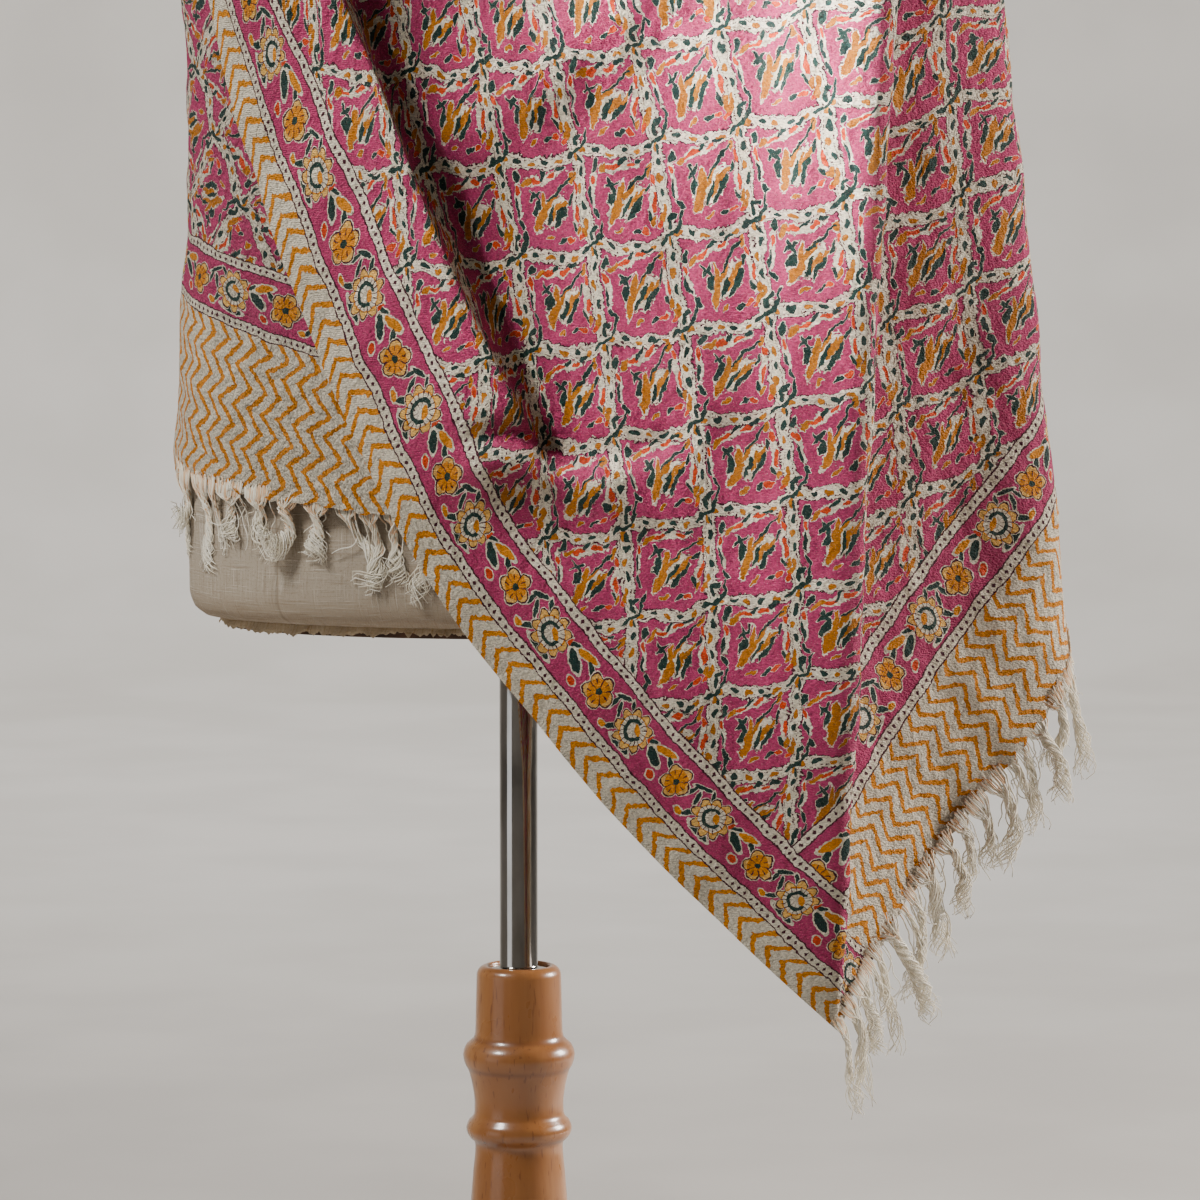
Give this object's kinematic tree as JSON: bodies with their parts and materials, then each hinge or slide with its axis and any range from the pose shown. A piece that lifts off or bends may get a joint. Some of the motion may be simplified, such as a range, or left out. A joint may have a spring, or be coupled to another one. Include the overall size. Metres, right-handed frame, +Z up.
{
  "type": "wool shawl on a dress form",
  "caption": "Printed wool shawl with fringed ends, wrapped once round a linen-covered dress form on a turned wooden stand, one corner hanging low in front.",
  "frame": {"origin": "centre of the round base's flat underside, on the floor", "axes": "+Z up along the pole, +X to the right of the form as seen from the front, the front faces -Y"},
  "size_m": [0.5672, 0.38, 1.4433],
  "materials": {
    "wool": "printed crinkled wool",
    "yarn": "loose twisted wool yarn",
    "linen": "plain slubby linen",
    "board": "dark raw board",
    "beech": "turned beech with gloss varnish",
    "chrome": "polished"
  },
  "bodies": {
    "root": {"shawl": "wool", "fringe_front": "yarn", "fringe_under": "yarn", "torso": "linen", "board": "board", "neck_cap": "beech", "flange": "chrome", "pole": "chrome", "column": "beech", "base": "beech"}
  },
  "joints": []
}
